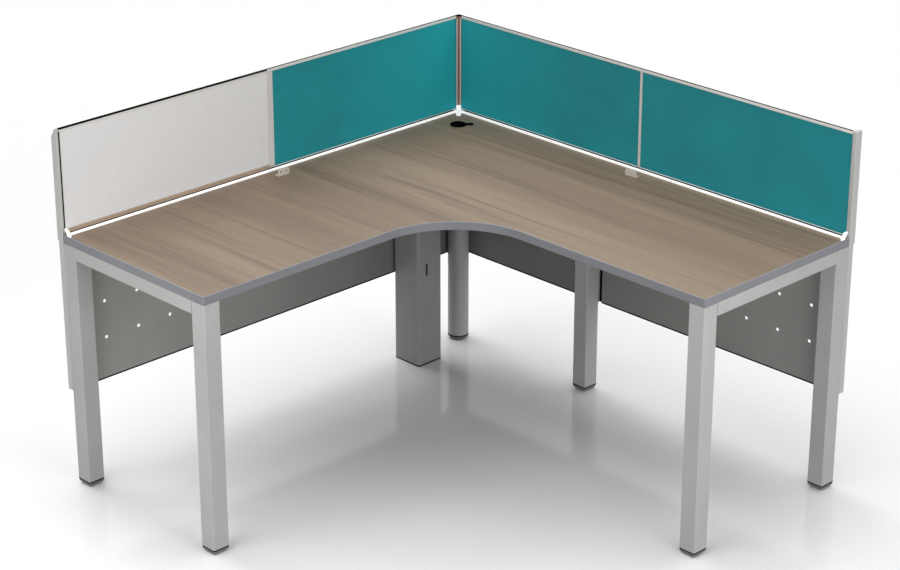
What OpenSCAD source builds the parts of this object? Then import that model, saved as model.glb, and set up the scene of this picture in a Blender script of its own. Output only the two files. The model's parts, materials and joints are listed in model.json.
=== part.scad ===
// Corner workstation: L-shaped worktop on steel legs, with desk screens,
// modesty panels, a cable riser and a cable grommet.
// Millimetres, +Z up. The origin is on the floor, under the middle of the whole desk.
// Both wings are drawn as the right wing: X runs along the wing from the corner,
// the user is at -Y and the back of the legs is the plane Y = 0.
// The left wing is the same wing mirrored about the corner's diagonal.

/* [Worktop] */
// Length of each wing, from the corner to its end
wing_l = 1500; // [1300:10:1800]
// Depth of each wing, from the screens to the front edge
wing_d = 600; // [540:10:750]
// Height of the worktop's face above the floor
top_z = 750; // [700:5:800]
// Thickness of the board
top_t = 25; // [22:1:30]
// Radius of the sweep at the inner corner
sweep_r = 250; // [100:10:400]
// Radius of the worktop's outer corners
corner_r = 5; // [4:1:30]
// Thickness of the edge band
band_t = 2; // [0.8:0.1:3]

/* [Frame] */
// Side of the square leg tube
leg_w = 52; // [44:1:60]
// Wall of the leg, beam and rail tubes
tube_wall = 2; // [1.5:0.25:2.5]
// Corner radius of the tubes
tube_r = 3; // [3:0.5:8]
// Diameter of the round corner leg
corner_leg_d = 66; // [56:1:80]
// Height of the end beams
beam_h = 38; // [30:1:60]
// Width of the rear rails
rail_w = 30; // [22:1:36]
// Height of the rear rails
rail_h = 40; // [30:1:60]
// Distance between the rear rails and the plane of the legs' backs
rail_back = 10; // [4:1:12]
// Distance from the corner to the middle leg's far face
middle_leg_x = 600; // [450:10:700]
// Distance that the support arms reach from the screens
arm_reach = 450; // [350:10:500]
// Width of a support arm
arm_w = 40; // [30:1:44]
// Height of a support arm at its root
arm_root_h = 70; // [50:1:100]
// Height of a support arm at its tip
arm_tip_h = 20; // [12:1:40]
// Thickness of the support arm's plate
arm_t = 3; // [2:0.5:5]

/* [Feet] */
// Height of a foot's pad, screwed fully in
foot_h = 13; // [10:1:25]
// Corner radius of a square foot's pad
foot_r = 15; // [5:0.5:20]
// Step in under a foot's pad
foot_bevel = 2; // [0.5:0.5:3]
// Diameter of a foot's stem
stem_d = 10; // [8:0.5:14]
// Length of a foot's stem above its pad
stem_l = 28; // [22:1:40]
// Thickness of the plug's flange under the leg
flange_h = 3; // [2:0.5:5]
// Length of the plug inside the leg
plug_l = 25; // [18:1:40]
// Wall of the plug's hollow spigot, and thickness of its ribs
plug_wall = 2.5; // [2:0.25:4]
// Diameter of the plug's boss round the stem
boss_d = 18; // [16:1:24]

/* [Modesty panels] */
// Height of the panels' lower edge above the floor
panel_z = 285; // [200:5:380]
// Depth of a panel, with its folded returns
panel_t = 20; // [12:1:24]
// Thickness of the panels' sheet
sheet_t = 1.5; // [1:0.25:2.5]
// Width of the lip folded in at the back of a panel
lip_w = 12; // [8:1:20]
// Width of the gap between the two right panels
joint_w = 12; // [6:1:20]
// Depth of the joint strip's face behind the panels' faces
joint_sink = 5; // [2:0.5:8]
// Width of the silver trim at a panel's outer end
trim_w = 14; // [10:1:25]
// Diameter of the accessory holes
hole_d = 10; // [6:0.5:14]
// Distance between columns of holes
hole_pitch = 112; // [80:1:130]
// Height of the lower row of holes
hole_low_z = 409; // [390:1:440]
// Distance between the two rows of holes
hole_rise = 109; // [80:1:130]
// Distance from the right wing's end to its first hole
hole_inset_right = 113; // [80:1:150]
// Distance from the left wing's end to its first hole
hole_inset_left = 125; // [80:1:150]

/* [Screens] */
// Depth of the screens' bottom rails and end posts
screen_t = 25; // [20:1:34]
// Depth of the slim top rails, middle posts and upper corner post
slim_t = 8; // [7.5:0.5:14]
// Height of the screens' top edge above the floor
screen_z = 1050; // [1000:10:1400]
// Distance that the screens reach below the worktop's face
screen_drop = 23; // [14:1:24]
// Wall of the screens' extrusions
frame_wall = 1.5; // [1.25:0.25:2]
// Depth of the groove that a tile's edge enters
groove = 4; // [3:0.5:5]
// Height of the top rail
top_rail_h = 9; // [8:0.5:20]
// Width of the seal groove along the top rail's upper face
seal_w = 5; // [3:0.5:5]
// Depth of the seal groove
seal_h = 1.5; // [1:0.25:2]
// Height of the bottom rail's lip above the worktop
bottom_lip = 4; // [3:0.5:14]
// Width of the left end post
end_post_left_w = 7; // [6:0.5:30]
// Width of the right end post
end_post_right_w = 13; // [6:0.5:30]
// Height of the slanted cut behind the top of the left end post
post_cut_h = 28; // [10:1:60]
// Width of the left middle post
mid_post_left_w = 19; // [17:1:30]
// Width of the right middle post
mid_post_right_w = 9; // [8:1:30]
// Thickness of the web in the middle posts
post_web = 2.5; // [2:0.5:3]
// Distance from the corner to the left middle post's centre
mid_left_x = 756; // [600:1:900]
// Distance from the corner to the right middle post's centre
mid_right_x = 742; // [600:1:900]
// Width of the corner post's slanted face, along each wing
post_bevel = 11; // [8:0.5:20]
// Height of the corner post's foot above the worktop
post_lift = 15; // [10:1:30]
// Radius of the extrusions' outer edges
frame_r = 1.5; // [0.5:0.25:1.5]

/* [Cable riser] */
// Size of the riser across the left wing
riser_d = 110; // [90:1:140]
// Size of the riser along the left wing
riser_w = 100; // [80:1:140]
// Distance from the left panel to the riser
riser_back = 5; // [2:1:10]
// Distance from the corner to the riser's near side
riser_off = 185; // [170:5:300]
// Corner radius of the riser
riser_r = 10; // [5:0.5:16]
// Depth of the fixed channel's full-width part
channel_d = 40; // [30:1:50]
// Length of the guide lips that the cover slides on
guide_l = 42; // [20:1:44]
// Height of the shoe under the riser
shoe_h = 4; // [3:0.5:10]
// Size of the cable hole in the shoe
shoe_hole = 56; // [30:1:66]
// Width of the pull slot in the cover
pull_w = 7.5; // [5:0.5:12]
// Length of the pull slot
pull_l = 40; // [25:1:60]
// Height of the pull slot's lower end
pull_z = 297; // [200:1:500]
// Distance from the cover's left edge to the pull slot
pull_off = 36; // [25:1:50]
// Height of the cable window near the top of the channel
window_h = 60; // [30:1:100]
// Width of the cable window
window_w = 20; // [12:1:22]
// Distance from the top of the channel to the window
window_drop = 60; // [48:1:100]

/* [Edge rail] */
// Width of the rail
edge_w = 7; // [5:0.5:12]
// Height of the rail
edge_h = 6; // [4:0.5:12]
// Distance from the screens to the rail's front face
edge_front = 22; // [18:1:24]
// Width of the end caps
cap_w = 18; // [12:1:24]
// Height of the end caps
cap_h = 20; // [12:1:30]
// Thickness of the end caps along the wing
cap_t = 6; // [4:1:12]
// Distance that the end caps lean towards the screens
cap_lean = 6; // [2:1:8]
// Width of the corner piece
corner_piece_w = 15; // [12:1:24]
// Length of the corner piece, from the corner along the diagonal
corner_piece_l = 70; // [50:1:80]

/* [Desk clips] */
// Distance from the corner to a clip's centre
clip_x = 771; // [650:1:900]
// Width of a clip
clip_w = 41; // [30:1:60]
// Height of a clip's upturned lip
clip_h = 19; // [14:1:30]
// Distance from the screens to the lip's front face
clip_front = 68; // [55:1:90]
// Thickness of a clip's plate
clip_t = 3; // [1.5:0.5:3]
// Depth of a clip's foot on the worktop
clip_foot = 14; // [8:1:24]
// Corner radius of a clip's lip
clip_r = 5; // [2:0.5:6]
// Diameter of the two holes in the left clip's lip
clip_hole_d = 8; // [5:0.5:9]

/* [Grommet] */
// Distance of the grommet's centre from the screens, both ways
grommet_off = 107; // [100:1:140]
// Diameter of the grommet's sleeve
sleeve_d = 40; // [34:1:44]
// Wall of the sleeve
sleeve_wall = 2; // [1.5:0.25:3]
// Length of the sleeve below the worktop's face
sleeve_l = 20; // [12:1:21]
// Diameter of the sleeve's flange
sleeve_flange_d = 50; // [48:1:60]
// Thickness of the sleeve's flange
sleeve_flange_h = 1.5; // [1:0.25:3]
// Diameter of the turning cap
cap_d = 46; // [45:1:48]
// Thickness of the cap's disc
cap_disc_h = 3; // [2:0.5:5]
// Depth of the cap's spigot in the sleeve
spigot_l = 6; // [4:0.5:10]
// Distance from the cap's centre to the end of its tab
tab_reach = 46; // [36:1:60]
// Width of the cap's tab
tab_w = 13; // [8:0.5:18]
// Width of the cable notch in the cap
notch_w = 11; // [8:0.5:14]
// Distance from the cap's centre to the floor of the cable notch
notch_in = 6; // [5:0.5:8]
// Direction of the cable notch
notch_angle = -30; // [-60:5:0]

/* [Screws] */
// Diameter of the worktop screws
screw_d = 5; // [4:0.5:6]
// Diameter of the screws' heads
screw_head_d = 9; // [8:0.5:12]
// Height of the screws' heads
screw_head_h = 3; // [2:0.5:4]
// Depth of the screws in the board
screw_in = 16; // [10:1:18]
// Diameter of the holes that let a driver through a tube
driver_d = 13; // [13:1:16]
// Distance of the panel screws from the inner side of the leg that they enter
panel_screw_in = 12; // [8:1:20]
// Reach of the panel screws past the walls that they join
screw_past = 4; // [2:0.5:6]

/* [Hidden] */

$fn = 64;
// Clearance round pieces that sit in or beside each other
fit = 0.3;
// Radial clearance of a stem or spigot that turns or slides in its bore
slip = 0.05;
// Overrun of cutting solids past a face
overrun = 2;

// Height of the board's underside
under_z = top_z - top_t;
// Half of the desk's plan size, from the corner to the origin
mid_xy = (wing_l - screen_t) / 2;
// Height of a leg tube's lower end, and its length
leg_z = foot_h + flange_h;
leg_l = under_z - leg_z;
// Distance of the corner leg's centre from both panel planes
corner_c = corner_leg_d / 2 + fit;
// Height of the modesty panels' top, where the screens start
panel_top_z = top_z - screen_drop;
panel_h = panel_top_z - panel_z;
// Thickness of a screen tile
tile_t = slim_t - 2 * frame_wall - 2 * fit;
// Height of the bottom rail's top and the top rail's underside
sill_z = top_z + bottom_lip;
head_z = screen_z - top_rail_h;
// Place of the screws, as shares of the length of the piece that they hold
end_screw_shares = [0.2, 0.8];
// Length of the cantilever from a square leg's front face
arm_from = leg_w;

silver = [0.74, 0.74, 0.75];
panel_grey = [0.46, 0.46, 0.47];
riser_grey = [0.55, 0.55, 0.56];
aluminium = [0.78, 0.79, 0.8];
bronze = [0.5, 0.36, 0.3];
oak_grey = [0.58, 0.52, 0.45];
band_grey = [0.5, 0.5, 0.53];
teal = [0.13, 0.5, 0.5];
board_white = [0.93, 0.93, 0.93];
plastic_white = [0.97, 0.97, 0.96];
plastic_black = [0.06, 0.06, 0.07];
zinc = [0.66, 0.67, 0.68];

// The two wings, moved so that the origin is under the middle of the desk
module right_wing() translate([-mid_xy, mid_xy, 0]) children();
module left_wing() right_wing() mirror([1, 1, 0]) children();

// Rectangle with rounded corners, its lowest corner at the origin
module round_rect(w, d, r) {
    translate([r, 0]) square([w - 2 * r, d]);
    translate([0, r]) square([w, d - 2 * r]);
    for (x = [r, w - r], y = [r, d - r]) translate([x, y]) circle(r);
}

// Wall of a rounded rectangular tube
module tube_plan(w, d) {
    difference() {
        round_rect(w, d, tube_r);
        translate([tube_wall, tube_wall])
            round_rect(w - 2 * tube_wall, d - 2 * tube_wall, tube_r - tube_wall);
    }
}

// Extrudes a profile, drawn across the wing and upwards, along the wing
module along_wing(l) rotate([90, 0, 90]) linear_extrude(l) children();

// Extrudes a profile, drawn along the wing and upwards, across it towards the user
module across_wing(l) rotate([90, 0, 0]) linear_extrude(l) children();

// Plan of one wing of the worktop, inset all round
module wing_plan(inset) {
    translate([inset, inset - wing_d])
        round_rect(wing_l - 2 * inset, wing_d - 2 * inset, max(corner_r - inset, band_t));
}

// Plan of the whole worktop with its swept inner corner, inset all round
module top_plan(inset) {
    wing_plan(inset);
    mirror([1, 1]) wing_plan(inset);
    difference() {
        reach = wing_d + sweep_r;
        translate([inset, -reach]) square([reach - inset, reach - inset]);
        translate([reach, -reach]) circle(sweep_r + inset, $fn = 128);
    }
}

// Places of the screws that hold one wing's board: [x, y, thickness of metal below it]
function beam_spots() = [
    for (s = end_screw_shares)
        [wing_l - leg_w / 2, -leg_w - s * (wing_d - 2 * leg_w), tube_wall]
];
function rail_spots(x0, x1) = [
    for (s = end_screw_shares) [x0 + s * (x1 - x0), -rail_back - rail_w / 2, tube_wall]
];
function arm_spots() = [
    for (s = end_screw_shares)
        [middle_leg_x - leg_w / 2, -arm_from - s * (arm_reach - arm_from), arm_t]
];
right_spots = concat(beam_spots(), arm_spots(), rail_spots(corner_c * 2, middle_leg_x - leg_w),
    rail_spots(middle_leg_x, wing_l - leg_w));
left_spots = concat(beam_spots(), arm_spots(), rail_spots(corner_c * 2, wing_l - leg_w));

// Holes for the screws' shanks, from below the metal up to their tips
module shank_holes(spots) {
    for (p = spots)
        translate([p[0], p[1], under_z - p[2] - overrun])
            cylinder(d = screw_d + 2 * slip, h = p[2] + overrun + screw_in + fit);
}

// Holes for a driver through the lower wall of a tube
module driver_holes(spots, z) {
    for (p = spots)
        translate([p[0], p[1], z - overrun]) cylinder(d = driver_d, h = tube_wall + 2 * overrun);
}

// Button-headed screw pointing up, the underside of its head at the origin
module screw(l) {
    cylinder(d = screw_d, h = l);
    translate([0, 0, -screw_head_h]) cylinder(d = screw_head_d, h = screw_head_h);
}

// Hole for such a screw through a thickness of metal
module screw_hole(t) {
    translate([0, 0, -overrun]) cylinder(d = screw_d + 2 * slip, h = t + 2 * overrun);
}

// Screws up into the board
module screws(spots) {
    for (p = spots) translate([p[0], p[1], under_z - p[2]]) screw(p[2] + screw_in);
}

// Places of the screws through a panel's face into the back of a leg, pointing at the user
module at_leg_screws(leg_x) {
    for (s = end_screw_shares)
        translate([leg_x + panel_screw_in, sheet_t, panel_z + s * panel_h])
            rotate([90, 0, 0]) children();
}

// Places of the screws up through a panel's top return into the bottom rail of a screen
module at_sill_screws(x0, x1) {
    for (s = end_screw_shares)
        translate([x0 + s * (x1 - x0), panel_t / 2, panel_top_z - sheet_t]) children();
}
module left_sill_screws() at_sill_screws(0, wing_l - trim_w) children();
module right_sill_screws() {
    at_sill_screws(0, middle_leg_x) children();
    at_sill_screws(middle_leg_x + joint_w, wing_l - trim_w) children();
}

module worktop() {
    color(oak_grey) difference() {
        right_wing() translate([0, 0, under_z]) linear_extrude(top_t) top_plan(band_t);
        right_wing() translate([grommet_off, -grommet_off, under_z - overrun])
            cylinder(d = sleeve_d + 2 * fit, h = top_t + 2 * overrun);
        right_wing() shank_holes(right_spots);
        left_wing() shank_holes(left_spots);
    }
}

module edge_band() {
    color(band_grey) right_wing() translate([0, 0, under_z]) linear_extrude(top_t)
        difference() {
            top_plan(0);
            top_plan(band_t);
        }
}

module worktop_screws() {
    color(zinc) {
        right_wing() screws(right_spots);
        left_wing() screws(left_spots);
    }
}

module panel_screws() {
    color(zinc) {
        left_wing() {
            at_leg_screws(wing_l - leg_w) screw(sheet_t + tube_wall + screw_past);
            left_sill_screws() screw(sheet_t + frame_wall + screw_past);
        }
        right_wing() {
            for (leg_x = [middle_leg_x - leg_w, wing_l - leg_w])
                at_leg_screws(leg_x) screw(sheet_t + tube_wall + screw_past);
            right_sill_screws() screw(sheet_t + frame_wall + screw_past);
        }
    }
}

// Square leg with a closed top, its lowest corner at the origin in plan
module square_leg() {
    translate([0, 0, leg_z]) linear_extrude(leg_l) tube_plan(leg_w, leg_w);
    translate([0, 0, under_z - tube_wall]) linear_extrude(tube_wall)
        round_rect(leg_w, leg_w, tube_r);
}

module front_leg() translate([wing_l - leg_w, -wing_d, 0]) square_leg();
// Leg with its back against a panel, and two screw holes there
module back_leg(leg_x) {
    difference() {
        translate([leg_x, -leg_w, 0]) square_leg();
        at_leg_screws(leg_x) screw_hole(sheet_t + tube_wall);
    }
}

module leg_front_left() color(silver) left_wing() front_leg();
module leg_back_left() color(silver) left_wing() back_leg(wing_l - leg_w);
module leg_front_right() color(silver) right_wing() front_leg();
module leg_back_right() color(silver) right_wing() back_leg(wing_l - leg_w);
module leg_middle() color(silver) right_wing() back_leg(middle_leg_x - leg_w);

module leg_corner() {
    color(silver) right_wing() translate([corner_c, -corner_c, leg_z]) difference() {
        cylinder(d = corner_leg_d, h = leg_l);
        translate([0, 0, -overrun])
            cylinder(d = corner_leg_d - 2 * tube_wall, h = leg_l + overrun - tube_wall);
    }
}

// Beam between the front and the back leg at the end of a wing
module end_beam() {
    difference() {
        translate([wing_l - leg_w, -leg_w, under_z - beam_h])
            across_wing(wing_d - 2 * leg_w) tube_plan(leg_w, beam_h);
        shank_holes(beam_spots());
        driver_holes(beam_spots(), under_z - beam_h);
    }
}
module beam_end_left() color(silver) left_wing() end_beam();
module beam_end_right() color(silver) right_wing() end_beam();

// Rail under the back of the board, between two legs; its corner end is coped to the round leg
module rear_rail(x0, x1, first) {
    spots = rail_spots(first, x1);
    difference() {
        translate([x0, -rail_back - rail_w, under_z - rail_h])
            along_wing(x1 - x0) tube_plan(rail_w, rail_h);
        translate([corner_c, -corner_c, under_z - rail_h - overrun])
            cylinder(d = corner_leg_d + 2 * fit, h = rail_h + 2 * overrun);
        shank_holes(spots);
        driver_holes(spots, under_z - rail_h);
    }
}
module rear_rail_left() {
    color(silver) left_wing() rear_rail(corner_c, wing_l - leg_w, corner_c * 2);
}
module rear_rail_right_inner() {
    color(silver) right_wing() rear_rail(corner_c, middle_leg_x - leg_w, corner_c * 2);
}
module rear_rail_right_outer() {
    color(silver) right_wing() rear_rail(middle_leg_x, wing_l - leg_w, middle_leg_x);
}

// Tapered channel under the board, closed at the top and open below, with a root plate
module support_arm(root_y) {
    side = [
        [root_y, under_z], [arm_reach, under_z], [arm_reach, under_z - arm_tip_h],
        [arm_reach - arm_tip_h, under_z - arm_tip_h - arm_t], [root_y, under_z - arm_root_h]
    ];
    translate([middle_leg_x - leg_w / 2 - arm_w / 2, 0, 0]) difference() {
        rotate([90, 0, -90]) mirror([0, 0, 1]) linear_extrude(arm_w) polygon(side);
        translate([arm_t, -arm_reach + arm_t, under_z - arm_root_h - overrun])
            cube([arm_w - 2 * arm_t, arm_reach - root_y - 2 * arm_t, arm_root_h + overrun - arm_t]);
        translate([-middle_leg_x + leg_w / 2 + arm_w / 2, 0, 0]) shank_holes(arm_spots());
    }
}
module support_arm_left() color(silver) left_wing() support_arm(rail_back + rail_w);
module support_arm_right() color(silver) right_wing() support_arm(leg_w);

// Plan of a plug's inside: a boss at the origin and two crossed ribs of a given length
module plug_ribs(l) {
    circle(d = boss_d);
    square([l, plug_wall], center = true);
    square([plug_wall, l], center = true);
}

// Bore for the foot's stem, from under the plug's flange to above its boss
module stem_bore() {
    translate([0, 0, -overrun])
        cylinder(d = stem_d + 2 * slip, h = flange_h + plug_l + 2 * overrun);
}

// Plug in the lower end of a square leg: flange, hollow spigot and ribbed boss
module square_plug() {
    outer = leg_w - 2 * tube_wall - 2 * fit;
    inner = outer - 2 * plug_wall;
    translate([leg_w / 2, leg_w / 2, foot_h]) difference() {
        union() {
            translate([-leg_w / 2, -leg_w / 2]) linear_extrude(flange_h)
                round_rect(leg_w, leg_w, tube_r);
            translate([0, 0, flange_h]) linear_extrude(plug_l) {
                difference() {
                    translate([-outer / 2, -outer / 2]) round_rect(outer, outer, tube_r - tube_wall);
                    square(inner, center = true);
                }
                plug_ribs(inner + plug_wall);
            }
        }
        stem_bore();
    }
}

// Plug in the lower end of the round leg
module round_plug() {
    outer = corner_leg_d - 2 * tube_wall - 2 * fit;
    translate([0, 0, foot_h]) difference() {
        union() {
            cylinder(d = corner_leg_d, h = flange_h);
            translate([0, 0, flange_h]) linear_extrude(plug_l) {
                difference() {
                    circle(d = outer);
                    circle(d = outer - 2 * plug_wall);
                }
                plug_ribs(outer - plug_wall);
            }
        }
        stem_bore();
    }
}

// Adjustable foot of a square leg: pad and threaded stem
module square_foot() {
    linear_extrude(foot_bevel) translate([foot_bevel, foot_bevel])
        round_rect(leg_w - 2 * foot_bevel, leg_w - 2 * foot_bevel, foot_r - foot_bevel);
    translate([0, 0, foot_bevel]) linear_extrude(foot_h - foot_bevel)
        round_rect(leg_w, leg_w, foot_r);
    translate([leg_w / 2, leg_w / 2, foot_bevel]) cylinder(d = stem_d, h = foot_h - foot_bevel + stem_l);
}

module at_front() translate([wing_l - leg_w, -wing_d, 0]) children();
module at_back() translate([wing_l - leg_w, -leg_w, 0]) children();
module at_middle() translate([middle_leg_x - leg_w, -leg_w, 0]) children();

module plug_front_left() color(plastic_black) left_wing() at_front() square_plug();
module plug_back_left() color(plastic_black) left_wing() at_back() square_plug();
module plug_front_right() color(plastic_black) right_wing() at_front() square_plug();
module plug_back_right() color(plastic_black) right_wing() at_back() square_plug();
module plug_middle() color(plastic_black) right_wing() at_middle() square_plug();
module plug_corner() {
    color(plastic_black) right_wing() translate([corner_c, -corner_c, 0]) round_plug();
}

module foot_front_left() color(plastic_black) left_wing() at_front() square_foot();
module foot_back_left() color(plastic_black) left_wing() at_back() square_foot();
module foot_front_right() color(plastic_black) right_wing() at_front() square_foot();
module foot_back_right() color(plastic_black) right_wing() at_back() square_foot();
module foot_middle() color(plastic_black) right_wing() at_middle() square_foot();
module foot_corner() {
    color(plastic_black) right_wing() translate([corner_c, -corner_c, 0]) {
        cylinder(d = corner_leg_d - 2 * foot_bevel, h = foot_bevel);
        translate([0, 0, foot_bevel]) cylinder(d = corner_leg_d, h = foot_h - foot_bevel);
        translate([0, 0, foot_bevel]) cylinder(d = stem_d, h = foot_h - foot_bevel + stem_l);
    }
}

// Folded sheet panel: a face with returns all round and lips at the back
module folded_panel(x0, x1) {
    l = x1 - x0;
    inner = sheet_t + lip_w;
    translate([x0, 0, panel_z]) difference() {
        cube([l, panel_t, panel_h]);
        translate([sheet_t, sheet_t, sheet_t])
            cube([l - 2 * sheet_t, panel_t - 2 * sheet_t, panel_h - 2 * sheet_t]);
        translate([inner, sheet_t, inner]) cube([l - 2 * inner, panel_t, panel_h - 2 * inner]);
    }
}

// Three columns and two rows of round holes, counted from a wing's end
module accessory_holes(inset) {
    for (column = [0:2], row = [0:1])
        translate([wing_l - inset - column * hole_pitch, -overrun, hole_low_z + row * hole_rise])
            rotate([-90, 0, 0]) cylinder(d = hole_d, h = sheet_t + 2 * overrun);
}

module modesty_panel_left() {
    color(panel_grey) left_wing() difference() {
        folded_panel(0, wing_l - trim_w);
        accessory_holes(hole_inset_left);
        at_leg_screws(wing_l - leg_w) screw_hole(sheet_t + tube_wall);
        left_sill_screws() screw_hole(sheet_t + frame_wall);
    }
}
module modesty_panel_right_inner() {
    color(panel_grey) right_wing() difference() {
        folded_panel(-panel_t, middle_leg_x);
        at_leg_screws(middle_leg_x - leg_w) screw_hole(sheet_t + tube_wall);
        right_sill_screws() screw_hole(sheet_t + frame_wall);
    }
}
module modesty_panel_right_outer() {
    color(panel_grey) right_wing() difference() {
        folded_panel(middle_leg_x + joint_w, wing_l - trim_w);
        accessory_holes(hole_inset_right);
        at_leg_screws(wing_l - leg_w) screw_hole(sheet_t + tube_wall);
        right_sill_screws() screw_hole(sheet_t + frame_wall);
    }
}

// Black strip in the gap between the two right panels
module panel_joint_strip() {
    color(plastic_black) right_wing() translate([middle_leg_x, joint_sink, panel_z])
        cube([joint_w, panel_t - joint_sink, panel_h]);
}

// Silver channel that closes a panel's outer end
module end_trim() {
    translate([wing_l - trim_w, 0, panel_z]) linear_extrude(panel_h) difference() {
        round_rect(trim_w, panel_t, frame_r);
        translate([frame_wall, frame_wall])
            square([trim_w - 2 * frame_wall, panel_t - 2 * frame_wall]);
    }
}
module panel_end_trim_left() color(aluminium) left_wing() end_trim();
module panel_end_trim_right() color(aluminium) right_wing() end_trim();

// Post in the corner: a square socket between the bottom rails, and above it a slim post,
// grooved on two sides and slanted towards the user
module screen_corner_post() {
    b = post_bevel;
    slot_t = slim_t - 2 * frame_wall;
    socket_h = sill_z - panel_top_z;
    color(bronze) right_wing() {
        translate([-screen_t, 0, panel_top_z]) difference() {
            cube([screen_t, screen_t, socket_h]);
            translate([frame_wall, frame_wall, -overrun])
                cube([screen_t - 2 * frame_wall, screen_t - 2 * frame_wall,
                    socket_h + overrun - frame_wall]);
        }
        translate([0, 0, sill_z]) difference() {
            linear_extrude(screen_z - sill_z) polygon([
                [-slim_t, slim_t], [b, slim_t], [b, 0], [0, -b], [-slim_t, -b]
            ]);
            translate([0, -b - overrun, -overrun])
                cube([b + overrun, b + overrun, top_z + post_lift - sill_z + overrun]);
            translate([0, 0, -overrun]) linear_extrude(head_z + groove - sill_z + overrun) {
                translate([b - groove, frame_wall]) square([groove + overrun, slot_t]);
                translate([frame_wall - slim_t, -b - overrun]) square([slot_t, groove + overrun]);
                translate([frame_wall - slim_t, frame_wall]) square(slot_t);
            }
        }
    }
}

// Channel along the top of a screen, open below for the tiles and grooved above for a seal
module top_rail(post_w) {
    translate([post_bevel, 0, head_z]) along_wing(wing_l - post_w - post_bevel) difference() {
        round_rect(slim_t, top_rail_h, frame_r);
        translate([frame_wall, -overrun])
            square([slim_t - 2 * frame_wall, groove + overrun]);
        translate([(slim_t - seal_w) / 2, top_rail_h - seal_h]) square([seal_w, seal_h + overrun]);
    }
}
module screen_top_rail_left() color(aluminium) left_wing() top_rail(end_post_left_w);
module screen_top_rail_right() color(aluminium) right_wing() top_rail(end_post_right_w);

// Hollow rail along the bottom of a screen, with a groove for the tiles above its front cell
module bottom_rail(post_w) {
    h = sill_z - panel_top_z;
    translate([0, 0, panel_top_z]) along_wing(wing_l - post_w) difference() {
        round_rect(screen_t, h, frame_r);
        translate([frame_wall, h - groove]) square([slim_t - 2 * frame_wall, groove + overrun]);
        translate([frame_wall, frame_wall])
            square([slim_t - frame_wall, h - groove - 2 * frame_wall]);
        translate([slim_t, frame_wall])
            square([screen_t - slim_t - frame_wall, h - 2 * frame_wall]);
    }
}
module screen_bottom_rail_left() {
    color(aluminium) left_wing() difference() {
        bottom_rail(end_post_left_w);
        left_sill_screws() screw_hole(sheet_t + frame_wall);
    }
}
module screen_bottom_rail_right() {
    color(aluminium) right_wing() difference() {
        bottom_rail(end_post_right_w);
        right_sill_screws() screw_hole(sheet_t + frame_wall);
    }
}

// Full-height post at a screen's outer end: a groove for the tile in front, a hollow cell
// behind it, closed at the top below any slanted cut
module end_post(w, cut_h) {
    h = screen_z - panel_top_z;
    translate([wing_l - w, 0, panel_top_z]) difference() {
        linear_extrude(h) round_rect(w, screen_t, frame_r);
        translate([-overrun, frame_wall, sill_z - groove - panel_top_z])
            cube([groove + overrun, slim_t - 2 * frame_wall, head_z - sill_z + 2 * groove]);
        translate([frame_wall, slim_t, -overrun])
            cube([w - 2 * frame_wall, screen_t - slim_t - frame_wall,
                h - cut_h - frame_wall + overrun]);
        if (cut_h > 0)
            translate([-overrun, 0, 0]) along_wing(w + 2 * overrun) polygon([
                [slim_t, h], [screen_t, h - cut_h], [screen_t + overrun, h - cut_h],
                [screen_t + overrun, h + overrun], [slim_t, h + overrun]
            ]);
    }
}
module screen_end_post_left() {
    color(aluminium) left_wing() end_post(end_post_left_w, post_cut_h);
}
module screen_end_post_right() color(aluminium) right_wing() end_post(end_post_right_w, 0);

// H-shaped post between two tiles
module mid_post(x, w) {
    translate([x - w / 2, 0, sill_z]) linear_extrude(head_z - sill_z) {
        square([w, frame_wall]);
        translate([0, slim_t - frame_wall]) square([w, frame_wall]);
        translate([(w - post_web) / 2, 0]) square([post_web, slim_t]);
    }
}
module screen_mid_post_left() color(aluminium) left_wing() mid_post(mid_left_x, mid_post_left_w);
module screen_mid_post_right() {
    color(aluminium) right_wing() mid_post(mid_right_x, mid_post_right_w);
}

// Tile between two places along a screen, its edges in the grooves
module tile(x0, x1) {
    z0 = sill_z - groove + fit;
    translate([x0 + fit, frame_wall + fit, z0])
        cube([x1 - x0 - 2 * fit, tile_t, head_z + groove - fit - z0]);
}
module inner_tile(mid_x) tile(post_bevel - groove, mid_x - post_web / 2);
module outer_tile(mid_x, post_w) tile(mid_x + post_web / 2, wing_l - post_w + groove);

module fabric_tile_left() color(teal) left_wing() inner_tile(mid_left_x);
module whiteboard_tile() {
    color(board_white) left_wing() outer_tile(mid_left_x, end_post_left_w);
}
module fabric_tile_right_inner() color(teal) right_wing() inner_tile(mid_right_x);
module fabric_tile_right_outer() {
    color(teal) right_wing() outer_tile(mid_right_x, end_post_right_w);
}

// Slim rail on the worktop, in front of the screens, mitred against the corner piece
module edge_rail() {
    joint_w = corner_piece_w + 2 * fit;
    difference() {
        translate([edge_front, -edge_front, top_z]) along_wing(wing_l - cap_t - edge_front)
            round_rect(edge_w, edge_h, frame_r);
        translate([0, 0, top_z - overrun]) rotate([0, 0, -45]) translate([0, -joint_w / 2, 0])
            cube([corner_piece_l, joint_w, edge_h + 2 * overrun]);
    }
}
module edge_rail_left() color(plastic_white) left_wing() edge_rail();
module edge_rail_right() color(plastic_white) right_wing() edge_rail();

// Leaning cap at the end of an edge rail
module rail_end_cap() {
    foot_y = edge_w - edge_front - cap_w - fit;
    translate([wing_l - cap_t, 0, top_z]) along_wing(cap_t) polygon([
        [foot_y, 0], [foot_y + cap_w, 0], [foot_y + cap_w + cap_lean, cap_h],
        [foot_y + cap_lean, cap_h]
    ]);
}
module rail_end_cap_left() color(plastic_white) left_wing() rail_end_cap();
module rail_end_cap_right() color(plastic_white) right_wing() rail_end_cap();

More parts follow.
